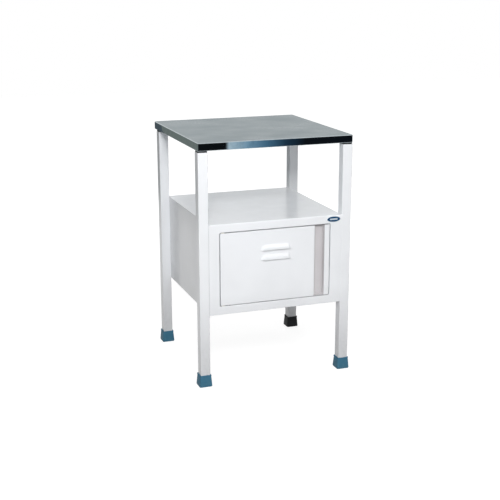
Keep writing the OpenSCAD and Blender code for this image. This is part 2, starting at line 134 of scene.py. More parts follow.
class CabinetColours(PropertyGroup):
    """Colours of the finishes."""

    enamel: colour("White enamel", "Stoved enamel on the legs, box and door", "#f2f4f7")
    enamel_shade: colour("Enamel, thin", "Where the enamel is thin or rubbed", "#e6e8eb")
    # greyer enamel inside the pull: painted shade of the recess, and partly grime from fingers
    handled: colour("Enamel, handled", "Inside the pull, greyed by fingers", "#d0cdcf")
    satin: colour("Satin stainless", "Top sheet", "#6c7d82")
    bright: colour("Polished stainless", "Rim of the top", "#b9c2c6")
    rubber: colour("Blue rubber", "Shoes", "#40738d")
    rubber_pale: colour("Rubber, dusty", "Rubbed and dusty places on a shoe", "#5f8699")
    dark_rubber: colour("Black rubber", "Odd shoe at the rear right and the door buffer", "#101113")
    polythene: colour("Black polythene", "Plugs between the legs and the top", "#23272a")
    zinc: colour("Zinc plate", "Screws, nuts, brackets and channels", "#b4b8ba")
    oval_blue: colour("Blue vitreous enamel", "Field of the oval plate", "#1d4468")
    oval_pale: colour("Pale vitreous enamel", "Rim and bar of the oval plate", "#c9d6df")
    nylon: colour("Nylon", "Hinge bushes", "#e2dfd6")
    plastic: colour("White ABS", "Catch body", "#e9e9e6")
    ferrite: colour("Ferrite", "Magnet of the catch", "#3a3b3d")


def sizes():
    """The sizes in use."""
    return bpy.context.scene.cabinet_sizes


def colours():
    """The colours in use."""
    return bpy.context.scene.cabinet_colours


# ---- Finishes ----


def add_node(tree, kind, inputs=None, **settings):
    """Adds a shader node. An input given a socket is linked to it, and any other input is set."""
    node = tree.nodes.new("ShaderNode" + kind)
    for key, value in settings.items():
        setattr(node, key, value)
    for key, value in (inputs or {}).items():
        if isinstance(value, bpy.types.NodeSocket):
            tree.links.new(value, node.inputs[key])
        else:
            node.inputs[key].default_value = value
    return node


def opaque(rgb):
    """A colour with full alpha, as a colour socket takes it."""
    return (*rgb, 1)


def start_finish(name):
    """A new material, its empty node tree, and the socket of the place on the piece in metres."""
    made = bpy.data.materials.new(name)
    made.use_nodes = True
    made.node_tree.nodes.clear()
    return made, made.node_tree, add_node(made.node_tree, "TexCoord").outputs["Object"]


# Places of a colour Mix node's sockets, whose names aren't unique.
SHARE, FIRST, SECOND, MIXED = 0, 6, 7, 2


def stoved_enamel(name, base, shade):
    """Enamel sprayed on folded sheet and stoved: a hard, even gloss with a slight orange peel,
    soft waves in the thin sheet, and a greyer, duller foot: painted shade towards the floor, with scuffs
    where shoes and mops rub it."""
    made, tree, place = start_finish(name)
    # the real peel is about 1.5 mm; drawn coarser so that it shows
    peel = add_node(tree, "TexNoise", {"Vector": place, "Scale": 1 / (4 * MM)})
    wave = add_node(tree, "TexNoise", {"Vector": place, "Scale": 1 / (95 * MM), "Detail": 1})
    cloud = add_node(tree, "TexNoise", {"Vector": place, "Scale": 1 / (160 * MM), "Detail": 3})
    scuff = add_node(tree, "TexNoise", {"Vector": place, "Scale": 1 / (14 * MM), "Detail": 5,
                                        "Roughness": 0.7})
    film = add_node(tree, "TexNoise", {"Vector": place, "Scale": 1 / (45 * MM), "Detail": 4})
    height = add_node(tree, "SeparateXYZ", {"Vector": place}).outputs["Z"]

    thin = add_node(tree, "MapRange", {"Value": cloud.outputs["Fac"], "From Min": 0.42, "From Max": 0.66,
                                       "To Max": 0.35})
    tone = add_node(tree, "Mix", {SHARE: thin.outputs[0], FIRST: opaque(base), SECOND: opaque(shade)},
                    data_type="RGBA")
    # painted shade: the enamel greys smoothly below about 0.3 m, standing in for the weaker light low down
    low = add_node(tree, "MapRange", {"Value": height, "From Min": 0.06, "From Max": 0.30,
                                      "To Min": 0.45, "To Max": 0})
    tone = add_node(tree, "Mix", {SHARE: low.outputs[0], FIRST: tone.outputs[MIXED],
                                  SECOND: opaque(linear("#bcbcbe"))}, data_type="RGBA")
    foot = add_node(tree, "MapRange", {"Value": height, "From Min": 0.02, "From Max": 0.16,
                                       "To Min": 1, "To Max": 0})
    rub = add_node(tree, "MapRange", {"Value": scuff.outputs["Fac"], "From Min": 0.45, "From Max": 0.7,
                                      "To Max": 0.7})
    rubbed = add_node(tree, "Math", {0: foot.outputs[0], 1: rub.outputs[0]}, operation="MULTIPLY")
    tone = add_node(tree, "Mix", {SHARE: rubbed.outputs[0], FIRST: tone.outputs[MIXED],
                                  SECOND: opaque(linear("#cbcccd"))}, data_type="RGBA")

    gloss = add_node(tree, "MapRange", {"Value": film.outputs["Fac"], "From Min": 0.3, "From Max": 0.7,
                                        "To Min": 0.15, "To Max": 0.23})
    waves = add_node(tree, "Bump", {"Height": wave.outputs["Fac"], "Distance": 0.5 * MM, "Strength": 1})
    bump = add_node(tree, "Bump", {"Height": peel.outputs["Fac"], "Distance": 0.012 * MM, "Strength": 1,
                                   "Normal": waves.outputs[0]})
    shader = add_node(tree, "BsdfPrincipled", {
        "Base Color": tone.outputs[MIXED], "Roughness": gloss.outputs[0], "Normal": bump.outputs[0],
        "IOR": 1.5})
    add_node(tree, "OutputMaterial", {"Surface": shader.outputs[0]})
    return made


def white_stoved_enamel():
    """White enamel of the legs, the box and the door."""
    return stoved_enamel("white_stoved_enamel", colours().enamel, colours().enamel_shade)


def pull_shade_and_grime_enamel():
    """The same enamel inside the pull, greyer: painted shade of the recess, and partly grime from fingers."""
    return stoved_enamel("pull_shade_and_grime_enamel", colours().handled, linear("#b9b5b7"))


def satin_stainless_steel():
    """Stainless sheet with a satin belt finish: fine lines along the width blur its reflections
    into a soft grey, with faint wiping marks and a few light scratches from use."""
    made, tree, place = start_finish("satin_stainless_steel")
    along_width = add_node(tree, "Mapping", {"Vector": place, "Scale": (0.012, 1, 1)})
    wiped = add_node(tree, "Mapping", {"Vector": place, "Scale": (0.05, 1.6, 1)})
    # the belt's lines are about 0.3 mm apart; drawn about 1.4 mm apart so that they show
    line = add_node(tree, "TexNoise", {"Vector": along_width.outputs[0], "Scale": 1 / (1.4 * MM),
                                       "Detail": 3, "Roughness": 0.65})
    haze = add_node(tree, "TexNoise", {"Vector": place, "Scale": 1 / (110 * MM), "Detail": 3})
    scratch = add_node(tree, "TexNoise", {"Vector": wiped.outputs[0], "Scale": 1 / (16 * MM),
                                          "Detail": 6, "Roughness": 0.75})

    share = add_node(tree, "MapRange", {"Value": line.outputs["Fac"], "From Min": 0.3, "From Max": 0.7,
                                        "To Max": 0.5})
    tone = add_node(tree, "Mix", {SHARE: share.outputs[0], FIRST: opaque(colours().satin),
                                  SECOND: opaque(linear("#617177"))}, data_type="RGBA")
    lined = add_node(tree, "MapRange", {"Value": line.outputs["Fac"], "From Min": 0.25, "From Max": 0.75,
                                        "To Min": 0.27, "To Max": 0.35})
    hazed = add_node(tree, "MapRange", {"Value": haze.outputs["Fac"], "From Min": 0.35, "From Max": 0.7,
                                        "To Min": -0.03, "To Max": 0.05})
    rough = add_node(tree, "Math", {0: lined.outputs[0], 1: hazed.outputs[0]}, operation="ADD")
    scratches = add_node(tree, "Bump", {"Height": scratch.outputs["Fac"], "Distance": 0.02 * MM,
                                        "Strength": 1})
    bump = add_node(tree, "Bump", {"Height": line.outputs["Fac"], "Distance": 0.01 * MM, "Strength": 1,
                                   "Normal": scratches.outputs[0]})
    shader = add_node(tree, "BsdfPrincipled", {
        "Base Color": tone.outputs[MIXED], "Metallic": 1, "Roughness": rough.outputs[0],
        "Normal": bump.outputs[0]})
    add_node(tree, "OutputMaterial", {"Surface": shader.outputs[0]})
    return made


def polished_stainless_steel():
    """The same sheet polished round its rim: nearly a mirror, with a slight ripple left by folding
    and a thin haze of fingermarks."""
    made, tree, place = start_finish("polished_stainless_steel")
    upright = add_node(tree, "Mapping", {"Vector": place, "Scale": (1, 1, 0.2)})
    ripple = add_node(tree, "TexNoise", {"Vector": upright.outputs[0], "Scale": 1 / (60 * MM), "Detail": 1})
    touch = add_node(tree, "TexNoise", {"Vector": place, "Scale": 1 / (18 * MM), "Detail": 4,
                                        "Roughness": 0.6})

    marked = add_node(tree, "MapRange", {"Value": touch.outputs["Fac"], "From Min": 0.45, "From Max": 0.7})
    tone = add_node(tree, "Mix", {SHARE: marked.outputs[0], FIRST: opaque(colours().bright),
                                  SECOND: opaque(linear("#aab3b7"))}, data_type="RGBA")
    rough = add_node(tree, "MapRange", {"Value": touch.outputs["Fac"], "From Min": 0.35, "From Max": 0.7,
                                        "To Min": 0.01, "To Max": 0.03})
    bump = add_node(tree, "Bump", {"Height": ripple.outputs["Fac"], "Distance": 0.06 * MM, "Strength": 1})
    shader = add_node(tree, "BsdfPrincipled", {
        "Base Color": tone.outputs[MIXED], "Metallic": 1, "Roughness": rough.outputs[0],
        "Normal": bump.outputs[0]})
    add_node(tree, "OutputMaterial", {"Surface": shader.outputs[0]})
    return made


def rubber(name, base, dusty):
    """Moulded rubber: a dull skin with a fine moulded grain, paler and dusty towards the floor."""
    made, tree, place = start_finish(name)
    skin = add_node(tree, "TexNoise", {"Vector": place, "Scale": 1 / (1.6 * MM), "Detail": 4})
    patch = add_node(tree, "TexNoise", {"Vector": place, "Scale": 1 / (12 * MM), "Detail": 4,
                                        "Roughness": 0.65})
    height = add_node(tree, "SeparateXYZ", {"Vector": place}).outputs["Z"]

    near_floor = add_node(tree, "MapRange", {"Value": height, "From Min": 0, "From Max": 0.02,
                                             "To Min": 1, "To Max": 0.25})
    patchy = add_node(tree, "MapRange", {"Value": patch.outputs["Fac"], "From Min": 0.42, "From Max": 0.72,
                                         "To Max": 0.8})
    dust = add_node(tree, "Math", {0: near_floor.outputs[0], 1: patchy.outputs[0]}, operation="MULTIPLY")
    tone = add_node(tree, "Mix", {SHARE: dust.outputs[0], FIRST: opaque(base), SECOND: opaque(dusty)},
                    data_type="RGBA")
    rough = add_node(tree, "MapRange", {"Value": patch.outputs["Fac"], "From Min": 0.3, "From Max": 0.7,
                                        "To Min": 0.52, "To Max": 0.7})
    bump = add_node(tree, "Bump", {"Height": skin.outputs["Fac"], "Distance": 0.05 * MM, "Strength": 1})
    shader = add_node(tree, "BsdfPrincipled", {
        "Base Color": tone.outputs[MIXED], "Roughness": rough.outputs[0], "IOR": 1.52,
        "Specular IOR Level": 0.2, "Normal": bump.outputs[0]})
    add_node(tree, "OutputMaterial", {"Surface": shader.outputs[0]})
    return made


def moulded_rubber_blue():
    """Blue rubber of the shoes."""
    return rubber("moulded_rubber_blue", colours().rubber, colours().rubber_pale)


def moulded_rubber_black():
    """Black rubber of the odd shoe and the buffer."""
    return rubber("moulded_rubber_black", colours().dark_rubber, linear("#26282a"))


def plastic(name, base, worn, roughness, skin_spacing):
    """Moulded plastic: an even colour with a light mould texture and slightly dulled places."""
    made, tree, place = start_finish(name)
    patch = add_node(tree, "TexNoise", {"Vector": place, "Scale": 1 / (9 * MM), "Detail": 3})
    skin = add_node(tree, "TexNoise", {"Vector": place, "Scale": 1 / skin_spacing})
    dulled = add_node(tree, "MapRange", {"Value": patch.outputs["Fac"], "From Min": 0.45, "From Max": 0.75})
    tone = add_node(tree, "Mix", {SHARE: dulled.outputs[0], FIRST: opaque(base), SECOND: opaque(worn)},
                    data_type="RGBA")
    rough = add_node(tree, "MapRange", {"Value": patch.outputs["Fac"], "From Min": 0.3, "From Max": 0.7,
                                        "To Min": roughness - 0.05, "To Max": roughness + 0.06})
    bump = add_node(tree, "Bump", {"Height": skin.outputs["Fac"], "Distance": 0.03 * MM, "Strength": 1})
    shader = add_node(tree, "BsdfPrincipled", {
        "Base Color": tone.outputs[MIXED], "Roughness": rough.outputs[0], "Normal": bump.outputs[0],
        "IOR": 1.46})
    add_node(tree, "OutputMaterial", {"Surface": shader.outputs[0]})
    return made


def black_polythene():
    """Black polythene plugs: waxy and half dull."""
    return plastic("black_polythene", colours().polythene, linear("#33383b"), 0.45, 1.2 * MM)


def natural_nylon():
    """Nylon bushes: milky, with a soft shine."""
    return plastic("natural_nylon", colours().nylon, linear("#d6d2c6"), 0.36, 1.5 * MM)


def white_abs():
    """White ABS catch body: even, with a low shine."""
    return plastic("white_abs", colours().plastic, linear("#dcdcd8"), 0.32, 1.5 * MM)


def metal(name, base, stained, roughness, spacing):
    """A plated or sintered metal with cloudy variation in tone and shine."""
    made, tree, place = start_finish(name)
    cloud = add_node(tree, "TexNoise", {"Vector": place, "Scale": 1 / spacing, "Detail": 4,
                                        "Roughness": 0.6})
    crystal = add_node(tree, "TexNoise", {"Vector": place, "Scale": 6 / spacing})
    stain = add_node(tree, "MapRange", {"Value": cloud.outputs["Fac"], "From Min": 0.4, "From Max": 0.72})
    tone = add_node(tree, "Mix", {SHARE: stain.outputs[0], FIRST: opaque(base), SECOND: opaque(stained)},
                    data_type="RGBA")
    rough = add_node(tree, "MapRange", {"Value": cloud.outputs["Fac"], "From Min": 0.3, "From Max": 0.7,
                                        "To Min": roughness - 0.07, "To Max": roughness + 0.08})
    bump = add_node(tree, "Bump", {"Height": crystal.outputs["Fac"], "Distance": 0.02 * MM, "Strength": 1})
    shader = add_node(tree, "BsdfPrincipled", {
        "Base Color": tone.outputs[MIXED], "Metallic": 1, "Roughness": rough.outputs[0],
        "Normal": bump.outputs[0]})
    add_node(tree, "OutputMaterial", {"Surface": shader.outputs[0]})
    return made


def bright_zinc_plate():
    """Bright zinc plate: a pale, slightly cloudy metal with a blue cast."""
    return metal("bright_zinc_plate", colours().zinc, linear("#9da3a8"), 0.34, 7 * MM)


def sintered_ferrite():
    """Sintered ferrite with steel poles: dark, grainy and dull."""
    return metal("sintered_ferrite", colours().ferrite, linear("#55575a"), 0.55, 3 * MM)


def vitreous_enamel(name, base, flecked):
    """Glass enamel fired on a metal plate: deep, wet gloss with tiny pits and a slight wave."""
    made, tree, place = start_finish(name)
    grain = add_node(tree, "TexNoise", {"Vector": place, "Scale": 1 / (2.5 * MM), "Detail": 4})
    wave = add_node(tree, "TexNoise", {"Vector": place, "Scale": 1 / (5 * MM)})
    fleck = add_node(tree, "MapRange", {"Value": grain.outputs["Fac"], "From Min": 0.5, "From Max": 0.75})
    tone = add_node(tree, "Mix", {SHARE: fleck.outputs[0], FIRST: opaque(base), SECOND: opaque(flecked)},
                    data_type="RGBA")
    rough = add_node(tree, "MapRange", {"Value": fleck.outputs[0], "To Min": 0.08, "To Max": 0.16})
    bump = add_node(tree, "Bump", {"Height": wave.outputs["Fac"], "Distance": 0.03 * MM, "Strength": 1})
    shader = add_node(tree, "BsdfPrincipled", {
        "Base Color": tone.outputs[MIXED], "Roughness": rough.outputs[0], "Normal": bump.outputs[0],
        "IOR": 1.52})
    add_node(tree, "OutputMaterial", {"Surface": shader.outputs[0]})
    return made


def vitreous_enamel_blue():
    """Blue field of the oval plate."""
    return vitreous_enamel("vitreous_enamel_blue", colours().oval_blue, linear("#2a5580"))


def vitreous_enamel_pale():
    """Pale rim and bar of the oval plate."""
    return vitreous_enamel("vitreous_enamel_pale", colours().oval_pale, linear("#b9c8d3"))


def finish(maker):
    """The material that this function makes, made once."""
    return bpy.data.materials.get(maker.__name__) or maker()


# ---- Modelling by hand ----


def only(obj):
    """Object mode, with obj active and alone selected."""
    if bpy.context.mode != "OBJECT":
        bpy.ops.object.mode_set(mode="OBJECT")
    bpy.ops.object.select_all(action="DESELECT")
    obj.select_set(True)
    bpy.context.view_layer.objects.active = obj
    return obj


def clear_selection():
    """Object mode, with nothing selected."""
    if bpy.context.mode != "OBJECT":
        bpy.ops.object.mode_set(mode="OBJECT")
    bpy.ops.object.select_all(action="DESELECT")


def named(obj, name):
    """Names an object and its mesh."""
    obj.name = obj.data.name = name
    return obj


def block(name, low, high):
    """A cube primitive stretched between two corners, with its place in its mesh."""
    clear_selection()
    low, high = Vector(low), Vector(high)
    bpy.ops.mesh.primitive_cube_add(size=1, location=(low + high) / 2)
    bpy.context.object.scale = high - low
    bpy.ops.object.transform_apply(location=True, rotation=True, scale=True)
    return named(bpy.context.object, name)


def edit(obj):
    """Edit mode on this object alone."""
    only(obj)
    bpy.ops.object.mode_set(mode="EDIT")


def pick(obj, kind, test):
    """In edit mode, selects only the vertices, edges or faces that pass the test."""
    bpy.ops.mesh.select_mode(type=kind)
    bpy.ops.mesh.select_all(action="DESELECT")
    mesh = bmesh.from_edit_mesh(obj.data)
    found = [e for e in {"VERT": mesh.verts, "EDGE": mesh.edges, "FACE": mesh.faces}[kind] if test(e)]
    if not found:
        raise RuntimeError(f"nothing to select on {obj.name}")
    for element in found:
        element.select_set(True)
    mesh.select_flush_mode()
    bmesh.update_edit_mesh(obj.data)


def at(element, axis, value):
    """True if every vertex of the element lies at this value on this axis."""
    verts = element.verts if hasattr(element, "verts") else [element]
    return all(abs(v.co[axis] - value) < TOUCH for v in verts)


def faces_to(direction):
    """A test for faces that look in a direction."""
    way = Vector(direction)
    return lambda face: face.normal.dot(way) > 0.9


def runs_along(edge, axis):
    """True if the edge is nearly parallel to this axis."""
    return abs((edge.verts[0].co - edge.verts[1].co).normalized()[axis]) > 0.9


def within(element, axis, low, high):
    """True if every vertex of the element lies between two values on this axis."""
    return all(low - TOUCH < v.co[axis] < high + TOUCH for v in element.verts)


def drop(obj, test):
    """In edit mode, deletes the faces that pass the test, and leaves their edges to their neighbours."""
    pick(obj, "FACE", test)
    bpy.ops.mesh.delete(type="FACE")


def round_edges(obj, test, radius, segments=3):
    """In edit mode, rounds the edges that pass the test."""
    pick(obj, "EDGE", test)
    bpy.ops.mesh.bevel(offset=radius, offset_type="OFFSET", segments=segments, affect="EDGES")


def cut(obj, axis, value, test=lambda face: True):
    """In edit mode, cuts the faces that pass the test across one axis."""
    normal, place = [0, 0, 0], [0, 0, 0]
    normal[axis], place[axis] = 1, value
    pick(obj, "FACE", test)
    bpy.ops.mesh.bisect(plane_co=place, plane_no=normal)


def push(vector):
    """In edit mode, extrudes what is selected and moves it."""
    bpy.ops.mesh.extrude_region_move(TRANSFORM_OT_translate={"value": vector})


def modify(obj, kind, **settings):
    """Adds a modifier and applies it."""
    only(obj)
    made = obj.modifiers.new(kind.title(), kind)
    for key, value in settings.items():
        setattr(made, key, value)
    bpy.ops.object.modifier_apply(modifier=made.name)


def face_forward(obj, front):
    """Makes a folded sheet's faces agree, with the ones in its front plane looking to the front."""
    edit(obj)
    bpy.ops.mesh.select_all(action="SELECT")
    bpy.ops.mesh.normals_make_consistent(inside=False)
    only(obj)
    face = max((p for p in obj.data.polygons if abs(p.center.y - front) < TOUCH), key=lambda p: p.area)
    if face.normal.y > 0:
        obj.data.flip_normals()


def thicken(obj, thickness):
    """Gives a sheet its thickness, inwards from its outer face."""
    modify(obj, "SOLIDIFY", thickness=thickness, offset=-1, use_even_offset=True, use_quality_normals=True)


def ease(obj, width, segments=2, angle=math.radians(32)):
    """Rounds every sharp edge a little, and keeps flat faces flat in shading."""
    only(obj)
    bpy.ops.object.shade_smooth()
    modify(obj, "BEVEL", width=width, segments=segments, limit_method="ANGLE", angle_limit=angle,
           harden_normals=True, use_clamp_overlap=True, miter_outer="MITER_ARC")


def smooth(obj, angle=math.radians(38)):
    """Shades the bends smooth and leaves the sharp edges sharp."""
    only(obj)
    bpy.ops.object.shade_smooth_by_angle(angle=angle)
    modify(obj, "WEIGHTED_NORMAL", mode="FACE_AREA", weight=100, keep_sharp=True)


def drill(obj, place, turn, radius, depth):
    """Bores a round hole, centred on a place and turned from upright."""
    clear_selection()
    bpy.ops.mesh.primitive_cylinder_add(vertices=32, radius=radius, depth=depth, location=place,
                                        rotation=turn)
    bit = bpy.context.object
    modify(obj, "BOOLEAN", operation="DIFFERENCE", object=bit, solver="EXACT")
    bpy.data.objects.remove(bit)


def copy_to(obj, name, matrix):
    """A copy with its own mesh, moved or mirrored inside that mesh."""
    only(obj)
    bpy.ops.object.duplicate()
    copy = named(bpy.context.object, name)
    copy.data.transform(matrix)
    if matrix.determinant() < 0:
        copy.data.flip_normals()
    return copy


def paint(obj, makers, choose=lambda face: 0):
    """Gives a piece its finishes, and each face the one whose number the choice returns."""
    obj.data.materials.clear()
    for maker in makers:
        obj.data.materials.append(finish(maker))
    for face in obj.data.polygons:
        face.material_index = choose(face)


def done(obj, body, slot, *nodes):
    """Gives a painted piece its body and hides the CAD nodes that it stands for. The slot is not used."""
    only(obj)
    if obj.matrix_world != Matrix.Identity(4):
        bpy.ops.object.transform_apply(location=True, rotation=True, scale=True)
    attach(obj, body)
    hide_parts(*nodes)
    bpy.ops.object.select_all(action="DESELECT")
    return obj


def eased_copy(node, body, slot, maker, width):
    """A copy of a CAD node with its triangles merged into whole faces and its edges eased."""
    source = frame["nodes"][node]
    clear_selection()
    copy = source.copy()
    copy.data = source.data.copy()
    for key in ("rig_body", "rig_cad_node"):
        del copy[key]
    copy.parent = None
    bpy.context.scene.collection.objects.link(copy)
    named(copy, node + "_finished")
    edit(copy)
    bpy.ops.mesh.select_all(action="SELECT")
    bpy.ops.mesh.remove_doubles(threshold=WELD)
    bpy.ops.mesh.dissolve_limited(angle_limit=FLAT)
    bpy.ops.object.mode_set(mode="OBJECT")
    if width:
        ease(copy, width)
    else:
        smooth(copy)
    paint(copy, [maker])
    return done(copy, body, slot, node)


# ---- Legs ----


class CABINET_OT_legs(Operator):
    """Models the four square tube legs, with a hanging hole in each rear leg."""

    bl_idname = "cabinet.legs"
    bl_label = "Legs"

    hole_radius = 2.2 * MM
    hole_from_front = 9 * MM
    hole_above_shelf = 6 * MM

    def execute(self, context):
        s = sizes()
        low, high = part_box("leg_front_left")
        leg = block("leg_front_left_tube", low, high)
        edit(leg)
        round_edges(leg, lambda e: not at(e, 2, low.z) and not at(e, 2, high.z), s.tube_round, 4)
        drop(leg, lambda f: abs(f.normal.z) > 0.9)
        thicken(leg, s.tube_wall)
        smooth(leg)
        for name in ("leg_front_right", "leg_rear_left", "leg_rear_right"):
            here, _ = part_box(name)
            copy = copy_to(leg, name + "_tube", Matrix.Translation(here - low))
            if "rear" in name:
                shelf_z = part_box("shelf_panel")[1].z
                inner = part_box(name)[0 if "right" in name else 1].x
                hole = (inner, here.y + self.hole_from_front, shelf_z + self.hole_above_shelf)
                drill(copy, hole, (0, QUARTER_TURN, 0), self.hole_radius, 4 * s.tube_wall)
                smooth(copy)
            paint(copy, [white_stoved_enamel])
            done(copy, "cabinet", "painted_steel", name)
        paint(leg, [white_stoved_enamel])
        done(leg, "cabinet", "painted_steel", "leg_front_left")
        return {"FINISHED"}


class CABINET_OT_shoes(Operator):
    """Models the rubber shoes: flared, with a lip at the mouth and a hollow under the sole."""

    bl_idname = "cabinet.shoes"
    bl_label = "Shoes"

    lip = 3.2 * MM
    lip_out = 0.7 * MM
    wall = 2.2 * MM
    socket = 32 * MM
    mouth_half = 18.27 * MM
    corner = 4 * MM
    foot_band = 2.5 * MM
    foot_tuck = 0.8 * MM
    sole_hollow = 10.5 * MM
    sole_depth = 2 * MM
    eased = 0.6 * MM

    def execute(self, context):
        low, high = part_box("shoe_front_left")
        middle = (low + high) / 2
        foot_half = (high.x - low.x) / 2
        shoe = block("shoe_front_left_rubber", low, high)
        edit(shoe)
        pick(shoe, "FACE", faces_to((0, 0, 1)))
        share = self.mouth_half / foot_half
        bpy.ops.transform.resize(value=(share, share, 1), center_override=(middle.x, middle.y, high.z))
        cut(shoe, 2, high.z - self.lip)
        cut(shoe, 2, low.z + self.foot_band)
        pick(shoe, "FACE", lambda f: abs(f.normal.z) < 0.5 and f.calc_center_median().z > high.z - self.lip)
        bpy.ops.mesh.extrude_region_shrink_fatten(TRANSFORM_OT_shrink_fatten={"value": self.lip_out})
        pick(shoe, "VERT", lambda v: at(v, 2, low.z))
        tuck = 1 - self.foot_tuck / foot_half
        bpy.ops.transform.resize(value=(tuck, tuck, 1), center_override=(middle.x, middle.y, low.z))
        round_edges(shoe, lambda e: runs_along(e, 2), self.corner, 5)
        pick(shoe, "FACE", lambda f: faces_to((0, 0, 1))(f) and at(f, 2, high.z))
        bpy.ops.mesh.dissolve_faces()
        pick(shoe, "FACE", lambda f: faces_to((0, 0, 1))(f) and at(f, 2, high.z))
        bpy.ops.mesh.inset(thickness=self.wall + self.lip_out)
        push((0, 0, -self.socket))
        bpy.ops.object.mode_set(mode="OBJECT")
        drill(shoe, (middle.x, middle.y, low.z), (0, 0, 0), self.sole_hollow, 2 * self.sole_depth)
        ease(shoe, self.eased, 2, math.radians(28))
        for name in ("shoe_front_right", "shoe_rear_left", "shoe_rear_right"):
            copy = copy_to(shoe, name + "_rubber", Matrix.Translation(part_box(name)[0] - low))
            maker = moulded_rubber_black if name == "shoe_rear_right" else moulded_rubber_blue
            paint(copy, [maker])
            done(copy, "cabinet", "shoe_rubber", name)
        paint(shoe, [moulded_rubber_blue])
        done(shoe, "cabinet", "shoe_rubber", "shoe_front_left")
        return {"FINISHED"}


class CABINET_OT_plugs(Operator):
    """Models the black plugs between the legs and the top."""

    bl_idname = "cabinet.plugs"
    bl_label = "Leg plugs"

    corner = 5 * MM
    step = 1.3 * MM  # from the head's edge in to the part that enters the tube
    eased = 0.7 * MM

    def execute(self, context):
        low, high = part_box("plug_front_left")
        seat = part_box("leg_front_left")[1].z
        plug = block("plug_front_left_head", (low.x, low.y, seat), high)
        edit(plug)
        round_edges(plug, lambda e: not at(e, 2, seat) and not at(e, 2, high.z), self.corner, 5)
        pick(plug, "FACE", faces_to((0, 0, -1)))
        bpy.ops.mesh.inset(thickness=self.step)
        push((0, 0, low.z - seat))
        ease(plug, self.eased)
        for name in ("plug_front_right", "plug_rear_left", "plug_rear_right"):
            copy = copy_to(plug, name + "_head", Matrix.Translation(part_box(name)[0] - low))
            paint(copy, [black_polythene])
            done(copy, "cabinet", "black_plastic", name)
        paint(plug, [black_polythene])
        done(plug, "cabinet", "black_plastic", "plug_front_left")
        return {"FINISHED"}


# ---- Top ----


class CABINET_OT_top(Operator):
    """Models the folded stainless top: bent edges, ground corners and a flange under the rim."""

    bl_idname = "cabinet.top"
    bl_label = "Top"

    def execute(self, context):
        s = sizes()
        low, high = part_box("top_pan")
        pan = block("top_folded_sheet", low, high)
        edit(pan)
        pick(pan, "FACE", faces_to((0, 0, -1)))
        bpy.ops.mesh.inset(thickness=s.rim_flange)
        bpy.ops.mesh.delete(type="FACE")
        round_edges(pan, lambda e: not at(e, 2, low.z), s.top_bend, 4)
        round_edges(pan, lambda e: at(e, 2, low.z) and len(e.link_faces) == 2
                    and any(abs(f.normal.z) < 0.5 for f in e.link_faces), s.hem_bend, 3)
        thicken(pan, s.sheet)
        smooth(pan)
        flat_top = high.z - s.sheet / 2
        paint(pan, [satin_stainless_steel, polished_stainless_steel],
              lambda f: 0 if f.normal.z > 0.97 and f.center.z > flat_top else 1)
        done(pan, "cabinet", "stainless_steel", "top_pan")
        for end in ("front", "rear"):
            eased_copy("top_channel_" + end, "cabinet", "zinc_plated", bright_zinc_plate, 0.4 * MM)
        return {"FINISHED"}


# ---- Box ----


class CABINET_OT_front_and_shelf(Operator):
    """Models the front frame and the shelf as one sheet, folded over at the front edge."""

    bl_idname = "cabinet.front_and_shelf"
    bl_label = "Front and shelf"

    def execute(self, context):
        s = sizes()
        shelf_low, shelf_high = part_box("shelf_panel")
        low = Vector((shelf_low.x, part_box("front_frame")[0].y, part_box("front_frame")[0].z))
        high = shelf_high
        door_low, door_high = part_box("door_skin")
        way_low = Vector((door_low.x - s.door_gap, low.y, door_low.z - s.door_gap))
        way_high = Vector((door_high.x + s.door_gap, low.y, door_high.z + s.door_gap))
        shell = block("front_and_shelf_sheet", low, high)
        edit(shell)
        is_front, is_top = faces_to((0, -1, 0)), faces_to((0, 0, 1))
        drop(shell, lambda f: not is_front(f) and not is_top(f))
        for axis in (0, 2):
            cut(shell, axis, way_low[axis], is_front)
            cut(shell, axis, way_high[axis], is_front)
        drop(shell, lambda f: is_front(f) and all(within(f, a, way_low[a], way_high[a]) for a in (0, 2)))

        def on_outline(e):
            return at(e, 1, low.y) and len(e.link_faces) == 1 and all(
                within(e, a, way_low[a], way_high[a]) for a in (0, 2))

        pick(shell, "EDGE", on_outline)
        push((0, s.jamb, 0))
        round_edges(shell, lambda e: runs_along(e, 1) and len(e.link_faces) == 2
                    and within(e, 1, low.y, low.y + s.jamb)
                    and all(within(e, a, way_low[a], way_high[a]) for a in (0, 2)), s.doorway_round, 6)
        pick(shell, "EDGE", lambda e: at(e, 2, low.z) and at(e, 1, low.y))
        push((0, s.flange, 0))
        face_forward(shell, low.y)
        edit(shell)
        round_edges(shell, lambda e: at(e, 2, high.z) and at(e, 1, low.y), s.shelf_bend, 5)
        round_edges(shell, lambda e: at(e, 1, low.y) and len(e.link_faces) == 2
                    and any(abs(f.normal.y) < 0.3 for f in e.link_faces), s.fold, 3)
        thicken(shell, s.sheet)
        smooth(shell)
        paint(shell, [white_stoved_enamel])
        done(shell, "cabinet", "painted_steel", "front_frame", "shelf_panel")
        return {"FINISHED"}


class CABINET_OT_panels(Operator):
    """Models the side trays, the back and the bottom of the box."""

    bl_idname = "cabinet.panels"
    bl_label = "Side, back and bottom panels"

    def execute(self, context):
        s = sizes()
        for side, outward in (("left", -1), ("right", 1)):
            node = "side_panel_" + side
            low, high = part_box(node)
            tray = block(node + "_tray", low, high)
            edit(tray)
            drop(tray, faces_to((-outward, 0, 0)))
            inner = high.x if outward < 0 else low.x
            round_edges(tray, lambda e: not at(e, 0, inner), s.fold, 3)
            thicken(tray, s.sheet)
            smooth(tray)
            paint(tray, [white_stoved_enamel])
            done(tray, "cabinet", "painted_steel", node)
        eased_copy("back_panel", "cabinet", "painted_steel", white_stoved_enamel, s.ease)
        eased_copy("bottom_panel", "cabinet", "painted_steel", white_stoved_enamel, s.ease)
        return {"FINISHED"}


